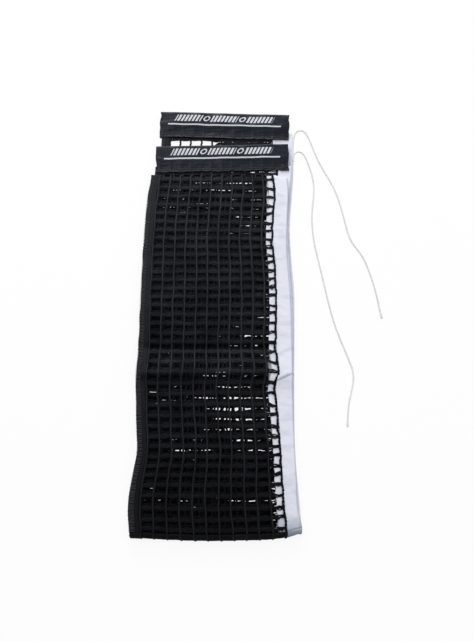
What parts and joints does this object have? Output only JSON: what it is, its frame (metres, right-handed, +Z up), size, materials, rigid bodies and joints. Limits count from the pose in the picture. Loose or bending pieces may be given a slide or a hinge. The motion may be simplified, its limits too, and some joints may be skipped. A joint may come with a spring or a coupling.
{
  "type": "table-tennis net",
  "caption": "Folded table-tennis net of black ladder mesh with a white top tape, glossy black post sleeves and loose ends of net cord.",
  "frame": {"origin": "on the surface that the folded net lies on, under the middle of its bounding box without the loose cord ends", "axes": "+Y along the folded net towards the sleeves, +X across it towards the white tape, +Z up"},
  "size_m": [0.24, 0.4518, 0.0113],
  "materials": {
    "mesh": "knitted black yarn",
    "hem": "woven black band",
    "tape": "woven white tape",
    "net_cord": "twisted off-white cord",
    "sleeve_film": "soft glossy film"
  },
  "bodies": {
    "lower_half": {"wales_layer_1": "mesh", "border_yarn_layer_1": "mesh", "hem_layer_1": "hem", "tape_layer_1": "tape", "net_cord_layer_1": "net_cord", "rungs_layer_1": "mesh", "wales_layer_2": "mesh", "border_yarn_layer_2": "mesh", "hem_layer_2": "hem", "tape_layer_2": "tape", "net_cord_layer_2": "net_cord", "rungs_layer_2": "mesh", "sleeve_a": "sleeve_film", "sleeve_b": "sleeve_film", "wales_crease_outer": "mesh", "border_yarn_crease_outer": "mesh", "hem_crease_outer": "hem", "tape_crease_outer": "tape", "net_cord_crease_outer": "net_cord", "wales_crease_inner": "mesh", "border_yarn_crease_inner": "mesh", "hem_crease_inner": "hem", "tape_crease_inner": "tape", "net_cord_crease_inner": "net_cord", "rung_crease_outer": "mesh", "cord_end_a": "net_cord", "cord_end_b": "net_cord"},
    "upper_half": {"wales_upper": "mesh", "border_yarn_upper": "mesh", "hem_upper": "hem", "tape_upper": "tape", "net_cord_upper": "net_cord", "rungs_layer_3": "mesh", "rungs_layer_4": "mesh"}
  },
  "joints": [
    {"name": "crease_fold", "type": "hinge", "parent": "lower_half", "child": "upper_half", "pos_m": [0, -0.22481, 0.00565], "axis": [1, 0, 0], "range_deg": [0, 180], "deforming": ["wales_crease_outer", "border_yarn_crease_outer", "hem_crease_outer", "tape_crease_outer", "net_cord_crease_outer", "wales_crease_inner", "border_yarn_crease_inner", "hem_crease_inner", "tape_crease_inner", "net_cord_crease_inner", "rung_crease_outer"]}
  ]
}
